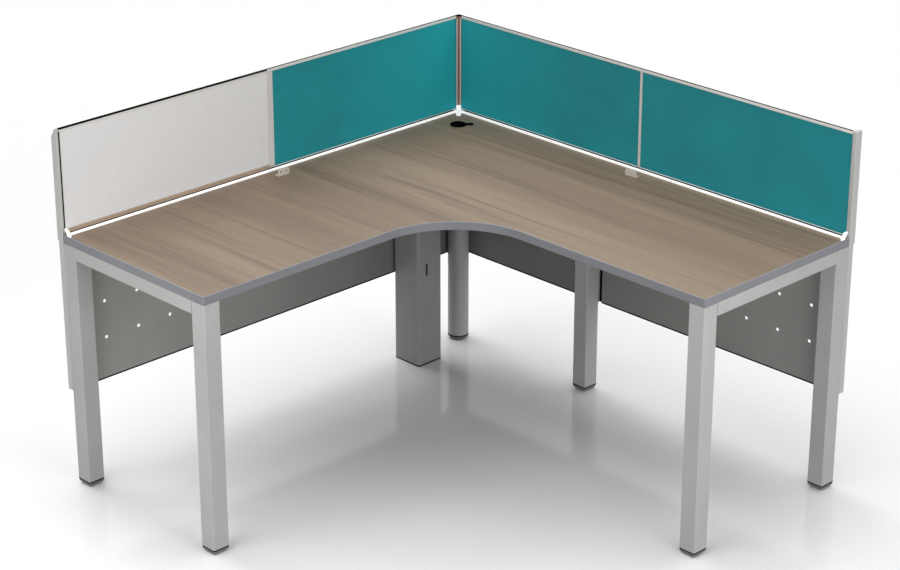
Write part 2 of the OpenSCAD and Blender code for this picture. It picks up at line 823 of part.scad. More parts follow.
// Piece on the diagonal that joins the two edge rails, with an upstand under the corner post
module rail_corner_piece() {
    nose = corner_piece_l - corner_piece_w / 2;
    color(plastic_white) right_wing() translate([0, 0, top_z]) rotate([0, 0, -45]) {
        linear_extrude(edge_h) {
            translate([corner_piece_w / 2, -corner_piece_w / 2])
                square([nose - corner_piece_w / 2, corner_piece_w]);
            translate([nose, 0]) circle(d = corner_piece_w);
        }
        translate([corner_piece_w / 2, -corner_piece_w / 2, 0])
            cube([corner_piece_w / 2, corner_piece_w, post_lift - fit]);
    }
}

// Folded plate on the worktop with an upturned lip, and holes in the lip at the given shares
module desk_clip(hole_shares) {
    translate([clip_x - clip_w / 2, -clip_front, top_z]) {
        cube([clip_w, clip_foot, clip_t]);
        difference() {
            translate([0, clip_t, 0]) across_wing(clip_t) {
                square([clip_w, clip_h - clip_r]);
                translate([clip_r, 0]) square([clip_w - 2 * clip_r, clip_h]);
                for (x = [clip_r, clip_w - clip_r])
                    translate([x, clip_h - clip_r]) circle(clip_r);
            }
            for (share = hole_shares)
                translate([clip_w * share, -overrun, clip_t + (clip_h - clip_t) / 2])
                    rotate([-90, 0, 0]) cylinder(d = clip_hole_d, h = clip_t + 2 * overrun);
        }
    }
}
module desk_clip_left() color(silver) left_wing() desk_clip([0.25, 0.75]);
module desk_clip_right() color(silver) right_wing() desk_clip([]);

// Moves the riser to its place beside the left panel; its plan starts at its back corner
module at_riser() {
    right_wing() translate([riser_back, -riser_off - riser_w, 0]) children();
}

// Wall of the riser's rounded plan
module riser_wall() {
    difference() {
        round_rect(riser_d, riser_w, riser_r);
        translate([sheet_t, sheet_t])
            round_rect(riser_d - 2 * sheet_t, riser_w - 2 * sheet_t, riser_r - sheet_t);
    }
}

// Fixed channel: full width at the back, notched round the rear rail, with inset guide lips
// for the cover
module riser_channel() {
    lip_y = sheet_t + fit;
    color(riser_grey) at_riser() translate([0, 0, shoe_h]) difference() {
        linear_extrude(under_z - shoe_h) {
            intersection() {
                riser_wall();
                square([channel_d, riser_w]);
            }
            for (y = [0, riser_w - lip_y - sheet_t])
                translate([channel_d - sheet_t, y]) square([sheet_t, lip_y + sheet_t]);
            for (y = [lip_y, riser_w - lip_y - sheet_t])
                translate([channel_d - sheet_t, y]) square([guide_l + sheet_t, sheet_t]);
        }
        translate([(channel_d - window_w) / 2 + sheet_t, riser_w - sheet_t - overrun,
            under_z - shoe_h - window_drop - window_h])
            cube([window_w, sheet_t + 2 * overrun, window_h]);
        translate([-overrun, -overrun, under_z - shoe_h - rail_h - fit])
            cube([rail_back + rail_w + fit - riser_back + overrun, riser_w + 2 * overrun,
                rail_h + fit + overrun]);
    }
}

// Cover that pulls forward off the channel's lips, with a pull slot in its face
module riser_cover() {
    color(riser_grey) at_riser() translate([0, 0, shoe_h + fit]) difference() {
        linear_extrude(under_z - shoe_h - 2 * fit) difference() {
            riser_wall();
            square([channel_d + fit, riser_w]);
        }
        translate([riser_d - sheet_t - overrun, pull_off - pull_w / 2, pull_z - shoe_h])
            rotate([90, 0, 90]) linear_extrude(sheet_t + 2 * overrun)
                round_rect(pull_w, pull_l, pull_w / 2 - slip);
    }
}

// Black shoe between the riser and the floor, open in the middle for the cables
module riser_shoe() {
    color(plastic_black) at_riser() linear_extrude(shoe_h) difference() {
        round_rect(riser_d, riser_w, riser_r);
        translate([(riser_d - shoe_hole) / 2, (riser_w - shoe_hole) / 2]) square(shoe_hole);
    }
}

module at_grommet() right_wing() translate([grommet_off, -grommet_off, top_z]) children();

module grommet_sleeve() {
    color(plastic_black) at_grommet() difference() {
        union() {
            cylinder(d = sleeve_flange_d, h = sleeve_flange_h);
            translate([0, 0, -sleeve_l]) cylinder(d = sleeve_d, h = sleeve_l + sleeve_flange_h);
        }
        translate([0, 0, -sleeve_l - overrun])
            cylinder(d = sleeve_d - 2 * sleeve_wall, h = sleeve_l + sleeve_flange_h + 2 * overrun);
    }
}

// Cut from the cap's edge towards its centre, wide enough for a cable
module cable_notch() {
    rotate(notch_angle) translate([notch_in, -notch_w / 2]) square([cap_d, notch_w]);
}

// Turning cap: disc with a finger tab, over a ring-shaped spigot, both open at the cable notch
module grommet_cap() {
    spigot_d = sleeve_d - 2 * sleeve_wall - 2 * slip;
    tab_end = tab_reach - tab_w / 2;
    color(plastic_black) at_grommet() translate([0, 0, sleeve_flange_h]) {
        linear_extrude(cap_disc_h) difference() {
            union() {
                circle(d = cap_d);
                rotate(45) {
                    translate([0, -tab_w / 2]) square([tab_end, tab_w]);
                    translate([tab_end, 0]) circle(d = tab_w);
                }
            }
            cable_notch();
        }
        translate([0, 0, -spigot_l]) linear_extrude(spigot_l) difference() {
            circle(d = spigot_d);
            circle(d = spigot_d - 2 * sleeve_wall);
            cable_notch();
        }
    }
}

worktop();
edge_band();
leg_front_left();
leg_back_left();
leg_front_right();
leg_back_right();
leg_middle();
leg_corner();
beam_end_left();
beam_end_right();
rear_rail_left();
rear_rail_right_inner();
rear_rail_right_outer();
support_arm_left();
support_arm_right();
plug_front_left();
plug_back_left();
plug_front_right();
plug_back_right();
plug_middle();
plug_corner();
foot_front_left();
foot_back_left();
foot_front_right();
foot_back_right();
foot_middle();
foot_corner();
modesty_panel_left();
modesty_panel_right_inner();
modesty_panel_right_outer();
panel_joint_strip();
panel_end_trim_left();
panel_end_trim_right();
screen_corner_post();
screen_top_rail_left();
screen_top_rail_right();
screen_bottom_rail_left();
screen_bottom_rail_right();
screen_end_post_left();
screen_end_post_right();
screen_mid_post_left();
screen_mid_post_right();
whiteboard_tile();
fabric_tile_left();
fabric_tile_right_inner();
fabric_tile_right_outer();
edge_rail_left();
edge_rail_right();
rail_end_cap_left();
rail_end_cap_right();
rail_corner_piece();
desk_clip_left();
desk_clip_right();
riser_channel();
riser_cover();
riser_shoe();
grommet_sleeve();
grommet_cap();
worktop_screws();
panel_screws();
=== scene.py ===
# %% [markdown]
# # An L-shaped office workstation, dressed around its construction model
#
# The construction model gives every rigid piece at its real size, in metres, already in place:
# the board, the steel frame, the modesty panels, the desk screens, the cable riser. This lesson
# gives those pieces the finish of the real product and adds the small things that a construction
# model leaves out. It works from the outside in: first the camera, the floor and the light, so that
# every later step can be judged in a render, then one finish after another, then the pieces.
#
# A piece made here is hung from the empty of the body that it moves with, takes the finish of a
# slot of the record unless it is given its own, and hides the plain piece that it stands for.

# %% Load the construction model
import json
import math

import bmesh
import bpy
from mathutils import Color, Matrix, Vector


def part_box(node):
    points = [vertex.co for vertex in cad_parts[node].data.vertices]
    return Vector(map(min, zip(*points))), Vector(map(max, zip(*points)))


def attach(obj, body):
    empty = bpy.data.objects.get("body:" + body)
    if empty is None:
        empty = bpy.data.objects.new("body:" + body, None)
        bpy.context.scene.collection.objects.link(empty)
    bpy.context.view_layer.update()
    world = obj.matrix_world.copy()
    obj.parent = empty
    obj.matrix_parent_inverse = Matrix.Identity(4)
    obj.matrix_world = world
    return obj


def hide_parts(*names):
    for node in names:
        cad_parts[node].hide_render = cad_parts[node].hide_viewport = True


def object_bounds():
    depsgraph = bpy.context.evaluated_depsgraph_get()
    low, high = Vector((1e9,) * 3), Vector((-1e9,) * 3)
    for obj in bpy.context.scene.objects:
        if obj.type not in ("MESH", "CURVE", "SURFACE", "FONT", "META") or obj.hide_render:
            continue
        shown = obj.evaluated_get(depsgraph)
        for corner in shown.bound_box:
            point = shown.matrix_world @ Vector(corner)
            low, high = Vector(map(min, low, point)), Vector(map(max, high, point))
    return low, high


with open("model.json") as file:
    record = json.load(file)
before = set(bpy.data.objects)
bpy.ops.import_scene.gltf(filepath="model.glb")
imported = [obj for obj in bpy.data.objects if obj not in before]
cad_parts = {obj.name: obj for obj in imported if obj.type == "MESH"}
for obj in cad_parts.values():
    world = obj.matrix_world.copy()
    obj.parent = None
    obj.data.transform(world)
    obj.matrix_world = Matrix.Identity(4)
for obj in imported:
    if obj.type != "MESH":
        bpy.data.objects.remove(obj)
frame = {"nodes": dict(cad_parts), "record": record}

MM = 0.001
CAD_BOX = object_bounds()
RECORD = frame["record"]
BODY_OF = {node: body for body, nodes in RECORD["behaviour"]["bodies"].items() for node in nodes}
SLOT_OF = {part["node"]: part["material_slot"] for part in RECORD["subparts"]}

# %% [markdown]
# ## The camera
#
# The picture to match was taken from the front, about 30 degrees above the board, with a long lens:
# the legs hardly converge. Place, turn and lens were found by fitting a camera to the desk's own
# corners. Standing on the desk's diagonal, it sees both wings alike.

# %% Set up the camera
CAMERA_PLACE = (4.4086, -4.3323, 3.2184)
CAMERA_TURN = (67.04, 0.0, 45.64)
CAMERA_LENS = 98.52

lens = bpy.data.cameras.new("camera")
lens.sensor_width = 36
lens.lens = CAMERA_LENS
camera = bpy.data.objects.new("camera", lens)
camera.location = CAMERA_PLACE
camera.rotation_euler = [math.radians(turn) for turn in CAMERA_TURN]
bpy.context.scene.collection.objects.link(camera)
bpy.context.scene.camera = camera
bpy.context.scene.view_settings.view_transform = "Standard"
print("camera", CAMERA_LENS, "mm, at", CAMERA_PLACE)

# %% [markdown]
# ## Three helpers for shaders
#
# A material in Blender is a graph of nodes. Written out by hand, each node takes a line to create,
# a few to set and one for each link. `add` does all three at once: a value given for an input is
# either a plain number or colour, or the output socket of another node, and is then linked.
# `shade` turns a colour as a screen shows it, in steps of 0 to 255, into the linear light that
# shaders calculate with. `seen_directly` tells the rays by which something is seen from those that
# only carry light, so that the room and the floor can answer them differently.

# %% Define the shader helpers
WHITE = (1.0, 1.0, 1.0, 1.0)


def add(tree, kind, inputs=None, **settings):
    """A new node, with its settings, and its inputs set to values or linked to sockets."""
    made = tree.nodes.new(kind)
    for key, value in settings.items():
        setattr(made, key, value)
    for key, value in (inputs or {}).items():
        if isinstance(value, bpy.types.NodeSocket):
            tree.links.new(value, made.inputs[key])
        else:
            made.inputs[key].default_value = value
    return made


def shade(red, green, blue):
    """A colour as a screen shows it, from 0 to 255, as a linear colour with full alpha."""
    return (*Color((red / 255, green / 255, blue / 255)).from_srgb_to_scene_linear(), 1.0)


def seen_directly(tree):
    """1 for rays from the camera, and for those that a glossy or clear surface sends on."""
    path = add(tree, "ShaderNodeLightPath")
    either = add(tree, "ShaderNodeMath", {0: path.outputs["Is Camera Ray"],
                                          1: path.outputs["Is Glossy Ray"]}, operation="MAXIMUM")
    return add(tree, "ShaderNodeMath", {0: either.outputs[0],
                                        1: path.outputs["Is Transmission Ray"]},
               operation="MAXIMUM").outputs[0]


print("mid grey", [round(part, 3) for part in shade(128, 128, 128)[:3]])

# %% [markdown]
# ## The room
#
# The photograph was taken in a white room. The room is the world's colour here. A surface that
# looks straight at it, or mirrors it, sees white. As a light on the object it would reach under the
# board and wash out the shadow there, so it gives none: the lamps of the next cell do all the work.

# %% Paint the room
def white_room():
    """A room that is white where it is seen, and gives the object no light."""
    world = bpy.data.worlds.new("room")
    bpy.context.scene.world = world
    world.use_nodes = True
    tree = world.node_tree
    tree.nodes.clear()
    room = add(tree, "ShaderNodeBackground", {"Color": WHITE, "Strength": seen_directly(tree)})
    add(tree, "ShaderNodeOutputWorld", {"Surface": room.outputs[0]})


white_room()
print("the room is white")

# %% [markdown]
# ## The lamps
#
# Large soft boxes throw broad shadows without an edge. A sun lamp whose disc is 45 degrees wide does
# the same, and shines on the whole desk alike. Eight of them stand round the desk, four of them
# high. Their strengths come from the photograph: the shadow under the desk was measured at some
# thousand points of the floor, each lamp was rendered alone, and the mix that gives the measured
# shadow was worked out. A strength of 1 shows a facing surface in the colour that its finish
# is written in. Two square lamps, low in front of the desk, light what the viewer sees under the
# board. Each sun below has its angle round the desk and its height, in degrees, and its strength;
# each square lamp has its place in metres and its power in watts.

# %% Hang the lamps
SOFT_SUNS = {"left": (180, 35, 0.395), "high_back_right": (45, 62, 0.256),
             "high_back_left": (135, 62, 0.244), "high_front": (270, 62, 0.244),
             "low_right": (0, 12, 0.24), "high_front_left": (225, 62, 0.146),
             "low_front": (270, 12, 0.059), "back": (90, 35, 0.06)}
SUN_WIDTH = math.radians(45)
FLOOR_BOXES = {"box_right": ((2.6, -0.6, 1.0), 18.2), "box_front": ((0.0, -1.9, 0.7), 7.2)}
BOX_SIDE = 1.2
BOX_AIM = Vector((0.0, 0.0, 0.4))


def hang(name, light, toward, place=(0.0, 0.0, 0.0)):
    """Puts a lamp in the scene, shining against the direction that leads to it."""
    lamp = bpy.data.objects.new(name, light)
    lamp.location = place
    lamp.rotation_euler = toward.to_track_quat("Z", "Y").to_euler()
    bpy.context.scene.collection.objects.link(lamp)


def soft_sun(name, around, height, level):
    """A distant lamp with a wide disc, at angles round the desk and above the floor."""
    light = bpy.data.lights.new(name, "SUN")
    light.angle = SUN_WIDTH
    light.energy = math.pi * level
    around, height = math.radians(around), math.radians(height)
    hang(name, light, Vector((math.cos(around) * math.cos(height),
                              math.sin(around) * math.cos(height), math.sin(height))))


def floor_box(name, place, power):
    """A square lamp close to the desk, turned to the space under its board."""
    light = bpy.data.lights.new(name, "AREA")
    light.size = BOX_SIDE
    light.energy = power
    hang(name, light, Vector(place) - BOX_AIM, place)


for name, (around, height, level) in SOFT_SUNS.items():
    soft_sun(name, around, height, level)
for name, (place, power) in FLOOR_BOXES.items():
    floor_box(name, place, power)
flat_light = sum(level * math.sin(math.radians(height)) for _, height, level in SOFT_SUNS.values())
print("light on a flat surface", round(flat_light, 2), "of plain level")

# %% [markdown]
# ## The floor
#
# The floor is white to the viewer and softly polished: a clear coat over a matt white, a little
# rough, so that the legs are mirrored close to their feet and fade away from them. To the object it
# is only a grey reflector, because white would throw too much light up under the board.

# %% Lay the floor
FLOOR_SIDE = 40.0
FLOOR_WHITE = shade(243, 243, 243)
FLOOR_BOUNCE = shade(52, 52, 52)


def floor_material():
    """A white, faintly polished floor that takes the shadow of the desk."""
    material = bpy.data.materials.new("studio_floor")
    material.use_nodes = True
    tree = material.node_tree
    tree.nodes.clear()
    direct = seen_directly(tree)
    colour = add(tree, "ShaderNodeMix", {0: direct, 6: FLOOR_BOUNCE, 7: FLOOR_WHITE},
                 data_type="RGBA")
    polished = add(tree, "ShaderNodeBsdfPrincipled",
                   {"Base Color": colour.outputs[2], "Roughness": 0.6, "Specular IOR Level": 0.0,
                    "Coat Weight": 0.8, "Coat Roughness": 0.1, "Coat IOR": 1.5})
    add(tree, "ShaderNodeOutputMaterial", {"Surface": polished.outputs[0]})
    return material


plate = bmesh.new()
bmesh.ops.create_grid(plate, x_segments=1, y_segments=1, size=FLOOR_SIDE / 2)
floor_mesh = bpy.data.meshes.new("floor")
plate.to_mesh(floor_mesh)
plate.free()
floor = bpy.data.objects.new("floor", floor_mesh)
floor_mesh.materials.append(floor_material())
bpy.context.scene.collection.objects.link(floor)
print("floor", FLOOR_SIDE, "m square")

# %% [markdown]
# ## How a finish is built up
#
# No surface on the real desk is one flat colour. Each finish below starts from the same parts:
# a slow drift of the colour over the piece, a fine texture that is felt more than seen, and a
# roughness that follows one of the two. Object coordinates carry the patterns, so they are measured
# in metres, and a grain of one millimetre is a noise with a scale of about 1000. `spread` brings a
# pattern to the range that is wanted, and `blend` mixes two colours by it.

# %% Define the patterns of a finish
def start(name):
    """A new material with an empty graph, and its object coordinates."""
    material = bpy.data.materials.new(name)
    material.use_nodes = True
    tree = material.node_tree
    tree.nodes.clear()
    place = add(tree, "ShaderNodeTexCoord").outputs["Object"]
    return material, tree, place


def stretched(tree, place, along):
    """Coordinates that a pattern reads slower or faster along each axis."""
    return add(tree, "ShaderNodeMapping", {"Vector": place, "Scale": along}).outputs[0]


def noise(tree, vector, scale, detail=2.0, roughness=0.5, distortion=0.0):
    """Cloudy noise, from 0 to 1."""
    return add(tree, "ShaderNodeTexNoise",
               {"Vector": vector, "Scale": scale, "Detail": detail, "Roughness": roughness,
                "Distortion": distortion}).outputs["Fac"]


def spread(tree, value, low, high, to_low=0.0, to_high=1.0):
    """A value between low and high, brought to another range and held inside it."""
    return add(tree, "ShaderNodeMapRange",
               {"Value": value, "From Min": low, "From Max": high, "To Min": to_low,
                "To Max": to_high}).outputs[0]


def blend(tree, share, first, second):
    """Two colours mixed by a share."""
    return add(tree, "ShaderNodeMix", {0: share, 6: first, 7: second},
               data_type="RGBA").outputs[2]


print("patterns of a finish: stretched, noise, spread, blend")

# %% [markdown]
# Edges take the most wear. The pieces that are rounded further down carry a face attribute named
# `edge`, which is 1 on the rounded strips; `rubbed` reads it to make them paler. Some finishes
# change along a wing. The corner lies where X plus Y is nought, and that sum grows along the right
# wing and falls along the left one, so `along_wing` serves both.

# %% Define wear, grain and the surface
def scaled(colour, share, lift=0.0):
    """A colour made darker or lighter by a share, and lifted a little where it is near black."""
    return tuple(min(1.0, part * share + lift) for part in colour[:3]) + (1.0,)


def bumped(tree, height, depth, strength):
    """A normal that follows a pattern, whose full height is the depth in metres."""
    return add(tree, "ShaderNodeBump",
               {"Height": height, "Distance": depth, "Strength": strength}).outputs[0]


def rubbed(tree, tone, share):
    """A colour that is paler by a share on the rounded strips of a piece's edges."""
    edge = add(tree, "ShaderNodeAttribute", attribute_name="edge").outputs["Fac"]
    return blend(tree, spread(tree, edge, 0.0, 1.0, 0.0, share), tone, WHITE)


def along_wing(tree, place):
    """Where a place is along its wing, how far that is from the corner, and how high it is."""
    parts = add(tree, "ShaderNodeSeparateXYZ", {0: place})
    run = add(tree, "ShaderNodeMath", {0: parts.outputs[0], 1: parts.outputs[1]}).outputs[0]
    reach = add(tree, "ShaderNodeMath", {0: run}, operation="ABSOLUTE").outputs[0]
    return run, reach, parts.outputs[2]


def finish_with(material, tree, **inputs):
    """The surface shader and the output, with the shader's inputs by name."""
    named = {key.replace("_", " ").title().replace("Ior", "IOR"): value
             for key, value in inputs.items()}
    surface = add(tree, "ShaderNodeBsdfPrincipled", named)
    add(tree, "ShaderNodeOutputMaterial", {"Surface": surface.outputs[0]})
    return material


print("mid grey scaled by 1.1:", [round(part, 3) for part in scaled(shade(128, 128, 128), 1.1)[:3]])

# %% [markdown]
# ## Powder coat
#
# The frame, the panels, the riser and the clips are steel, sprayed with dry paint that melts in an
# oven. The coat levels out, but keeps a ripple about a millimetre wide, called orange peel, and it
# draws back a little from sharp edges, where it looks brighter. The tall panels are also painted
# darker towards the corner: painted shade, for the shadow that the board throws on them there.

# %% Define powder coat
DRIFT = 0.05
CORNER_SHADE_GREY = shade(60, 58, 55)


def powder_coat(name, colour, corner_shade=0.0):
    """Satin powder coat with orange peel, a drift of colour, rubbed edges and painted corner shade.
    """
    material, tree, place = start(name)
    cloud = noise(tree, place, 5.0, detail=3.0)
    speckle = noise(tree, place, 2600.0, detail=1.0)
    tone = blend(tree, spread(tree, cloud, 0.35, 0.65), scaled(colour, 1 - DRIFT),
                 scaled(colour, 1 + DRIFT))
    tone = blend(tree, spread(tree, speckle, 0.3, 0.7, 0.0, 0.06), tone, WHITE)
    # Painted shade: darker towards the corner, where the board shades the panels.
    if corner_shade:
        _, reach, _ = along_wing(tree, place)
        tone = blend(tree, spread(tree, reach, 0.4, 1.35, corner_shade, 0.0), tone, CORNER_SHADE_GREY)
    peel = noise(tree, place, 900.0, detail=1.5)
    rough = spread(tree, cloud, 0.3, 0.7, 0.40, 0.51)
    return finish_with(material, tree, base_color=rubbed(tree, tone, 0.25), roughness=rough,
                       normal=bumped(tree, peel, 0.00006, 0.35))


print("powder coat drifts by", DRIFT, "to either side of its colour")

# %% [markdown]
# The paints differ in colour, and the panels also in painted shade towards the corner. The frame is
# silver, the panels and the riser are a darker grey, and the two clips on the worktop are a warm
# white. `FINISH` holds one material for each finish that the record names, so that a piece can look
# its own up.

# %% Mix the painted finishes
FINISH = {
    "frame_paint": powder_coat("silver_powder_coat", shade(199, 199, 197)),
    # The panels' paint carries painted shade towards the corner.
    "panel_paint": powder_coat("panel_powder_coat", shade(168, 167, 164), corner_shade=0.45),
    "riser_paint": powder_coat("riser_powder_coat", shade(162, 162, 160)),
    "clip_paint": powder_coat("clip_powder_coat", shade(216, 209, 198)),
}
print(len(FINISH), "painted finishes")

# %% [markdown]
# ## Wood-grain laminate
#
# The board is chipboard under a printed laminate. The print runs along the right wing over the
# whole board, also across the left wing, because it is cut from one sheet. It has broad soft bands
# a hand wide, thin darker streaks between them, and short pores pressed into the surface. Noise
# that is stretched along X gives them all: the more it is stretched, the finer the lines.

# %% Define the laminate
def wood_laminate():
    """Grey-brown wood print with its grain along X."""
    material, tree, place = start("wood_laminate")
    bands = noise(tree, stretched(tree, place, (0.5, 6.5, 1.0)), 1.0, 3.0, 0.5, 0.4)
    veins = noise(tree, stretched(tree, place, (0.6, 30.0, 1.0)), 1.0, 4.0, 0.6, 0.9)
    hearts = noise(tree, stretched(tree, place, (1.6, 85.0, 1.0)), 1.0, 3.0, 0.55, 0.5)
    fibres = noise(tree, stretched(tree, place, (5.0, 420.0, 1.0)), 1.0, 2.0)
    pores = noise(tree, stretched(tree, place, (26.0, 1500.0, 1.0)), 1.0, 1.0)
    tone = blend(tree, spread(tree, bands, 0.34, 0.66), shade(124, 104, 85), shade(145, 125, 104))
    tone = blend(tree, spread(tree, veins, 0.52, 0.68, 0.0, 0.6), tone, shade(100, 80, 64))
    tone = blend(tree, spread(tree, hearts, 0.55, 0.72, 0.0, 0.35), tone, shade(92, 73, 58))
    tone = blend(tree, spread(tree, fibres, 0.3, 0.7, 0.0, 0.12), tone, shade(84, 68, 55))
    pore = spread(tree, pores, 0.62, 0.70)
    tone = blend(tree, spread(tree, pore, 0.0, 1.0, 0.0, 0.3), tone, shade(72, 58, 48))
    rough = spread(tree, veins, 0.3, 0.7, 0.5, 0.42)
    return finish_with(material, tree, base_color=tone, roughness=rough,
                       normal=bumped(tree, spread(tree, pore, 0.0, 1.0, 1.0, 0.0), 0.00008, 0.6))


FINISH["worktop_laminate"] = wood_laminate()
print("laminate ready")

# %% [markdown]
# ## Moulded plastic and rubber
#
# The edge band, the white rail with its caps, the feet, plugs, seals and the cable outlet are
# plastic. A mould leaves a fine etched grain on it, felt more than seen, and edges that are handled
# turn paler. One function makes them all but the feet, from glossy white to dull black. White
# plastic is given a faint glow in its own colour: painted light, so that it stays white in shadow.

# %% Define moulded plastic
def moulded_plastic(name, colour, dullness, shine=0.5, painted_glow=0.0):
    """Plastic with the fine etched grain of its mould, paler where edges are rubbed."""
    material, tree, place = start(name)
    cloud = noise(tree, place, 9.0, detail=3.0)
    tone = blend(tree, spread(tree, cloud, 0.35, 0.65), colour, scaled(colour, 1.07, 0.001))
    tone = rubbed(tree, tone, 0.01 + 0.15 * colour[1])        # black hardly shows rubbing
    skin = noise(tree, place, 700.0, detail=2.0)
    rough = spread(tree, skin, 0.3, 0.7, dullness - 0.06, dullness + 0.06)
    # Painted light: the emission makes a plastic glow, though it is no lamp.
    return finish_with(material, tree, base_color=tone, roughness=rough, specular_ior_level=shine,
                       emission_color=tone, emission_strength=painted_glow,
                       normal=bumped(tree, skin, 0.00005, 0.5))


FINISH["edge_band_plastic"] = moulded_plastic("edge_band_plastic", shade(138, 139, 144), 0.42)
# The white plastic glows: painted light.
FINISH["white_plastic"] = moulded_plastic("white_plastic", shade(254, 254, 252), 0.3, painted_glow=0.45)
FINISH["black_plastic"] = moulded_plastic("black_plastic", shade(5, 5, 6), 0.6, shine=0.0)
print(len(FINISH), "finishes")

# %% [markdown]
# ## The feet
#
# Each foot is a grey nylon pad, painted black around its rim and across its lowest two millimetres:
# painted shadow, for the gap under the leg and for where the sole meets the floor. The height above
# the floor decides the colour, so one material serves all six.

# %% Define the feet's nylon and their painted shadow
SOLE = 2.0 * MM
RIM = 11.6 * MM
BLUR = 0.3 * MM
FOOT_SHADOW_BLACK = shade(8, 8, 9)


def foot_nylon():
    """Grey nylon, painted black for shadow below the sole's height and above the rim's."""
    material, tree, place = start("foot_nylon")
    height = add(tree, "ShaderNodeSeparateXYZ", {0: place}).outputs[2]
    cloud = noise(tree, place, 60.0, detail=2.0)
    nylon = blend(tree, spread(tree, cloud, 0.35, 0.65), shade(140, 140, 138), shade(156, 156, 153))
    # Painted shadow: black at the foot of the sole and above the rim.
    tone = blend(tree, spread(tree, height, SOLE - BLUR, SOLE), FOOT_SHADOW_BLACK, nylon)
    tone = blend(tree, spread(tree, height, RIM, RIM + BLUR), tone, FOOT_SHADOW_BLACK)
    skin = noise(tree, place, 800.0, detail=2.0)
    rough = spread(tree, cloud, 0.3, 0.7, 0.5, 0.6)
    return finish_with(material, tree, base_color=tone, roughness=rough, specular_ior_level=0.15,
                       normal=bumped(tree, skin, 0.00005, 0.5))


FINISH["foot_rubber"] = foot_nylon()
print("sole up to", SOLE / MM, "mm, rim from", RIM / MM, "mm")

# %% [markdown]
# ## Anodised aluminium
#
# The screen frames and the trims at the panels' ends are drawn aluminium with a clear anodised
# skin. Drawing leaves fine lines along the profile, so the noise is stretched that way, and a
# profile that runs along X needs another material than one that stands upright. The same aluminium
# is also given two tones: paler on the rails and the middle posts, as painted light, and darker on
# the end posts and trims, as painted shade. The corner post is given a dark bronze tone, partly
# painted shade for the shaded inner corner that it stands in.

# %% Define anodised aluminium
def anodised(name, colour, along):
    """Drawn and anodised aluminium, with die lines along the extrusion."""
    material, tree, place = start(name)
    fine = {"X": (4, 900, 900), "Y": (900, 4, 900), "Z": (900, 900, 4)}[along]
    lines = noise(tree, stretched(tree, place, fine), 1.0, detail=2.0)
    cloud = noise(tree, place, 6.0, detail=2.0)
    tone = blend(tree, spread(tree, lines, 0.3, 0.7), scaled(colour, 0.93), scaled(colour, 1.08))
    rough = spread(tree, cloud, 0.3, 0.7, 0.42, 0.5)
    return finish_with(material, tree, base_color=rubbed(tree, tone, 0.3), roughness=rough,
                       metallic=0.3, normal=bumped(tree, lines, 0.00004, 0.4))


# Painted light and shade: the rails are paler than the upright profiles of the same aluminium.
ALUMINIUM = {"X": anodised("anodised_along_x", shade(236, 235, 231), "X"),
             "Y": anodised("anodised_along_y", shade(236, 235, 231), "Y"),
             "Z": anodised("anodised_along_z", shade(196, 196, 194), "Z")}
MID_POST = anodised("anodised_mid_post", shade(226, 225, 222), "Z")
FINISH["trim_aluminium"] = ALUMINIUM["Z"]
# Partly painted shade: the corner post's dark bronze tone stands for its shaded place in the corner.
FINISH["bronze_aluminium"] = anodised("bronze_anodised", shade(140, 98, 82), "Z")
FINISH["zinc_steel"] = anodised("zinc_plated", shade(178, 180, 180), "Z")
print(len(FINISH), "finishes")

# %% [markdown]
# ## The screens' tiles
#
# One tile is a marker board: enamelled steel, smooth enough to mirror the room softly, with faint
# traces of wiped ink. The others are covered with cloth. The board comes first: two ranges, one
# along it and one down it, add up to how much painted shade each place gets, so that it is greyer
# towards its lower inner corner.

# %% Define the marker board's finish
BOARD_SPAN = (-0.72, -0.02)          # from the board's outer end to its inner end, along Y
BOARD_RISE = (1.04, 0.76)            # from its upper edge down to its lower one


def marker_enamel():
    """White enamelled steel, painted greyer towards its lower inner corner as shade."""
    material, tree, place = start("marker_enamel")
    parts = add(tree, "ShaderNodeSeparateXYZ", {0: place})
    inward = spread(tree, parts.outputs[1], *BOARD_SPAN)
    downward = spread(tree, parts.outputs[2], *BOARD_RISE)
    # Painted shade: the two ranges make the enamel greyer towards its lower inner corner.
    painted_shade_share = add(tree, "ShaderNodeMath", {0: inward, 1: downward}).outputs[0]
    tone = blend(tree, spread(tree, painted_shade_share, 0.0, 2.0), shade(255, 255, 255), shade(232, 232, 233))
    wipes = noise(tree, stretched(tree, place, (1.0, 3.0, 9.0)), 1.6, 4.0, 0.6, 1.2)
    tone = blend(tree, spread(tree, wipes, 0.35, 0.7, 0.0, 0.025), tone, shade(196, 202, 208))
    skin = noise(tree, place, 260.0, detail=1.0)
    rough = spread(tree, wipes, 0.3, 0.7, 0.2, 0.32)
    return finish_with(material, tree, base_color=tone, roughness=rough, specular_ior_level=0.25,
                       normal=bumped(tree, skin, 0.00004, 0.25))


FINISH["whiteboard_enamel"] = marker_enamel()
print(len(FINISH), "finishes")

# %% [markdown]
# The cloth is teal, in plain weave. Warp and weft are two waves, and a checker of 1.4 mm squares
# decides which of them lies on top. A wave repeats each time that its scaled coordinate has grown
# by a tenth of pi, so its scale follows from the thread's width. Thicker threads, called slubs, run
# here and there along the cloth. Towards the corner the cloth is painted lighter and more vivid:
# painted light, against the shade that falls into the corner.

# %% Define the cloth tiles' finish
SQUARE = 1.4 * MM
THREAD = SQUARE * math.pi / 5


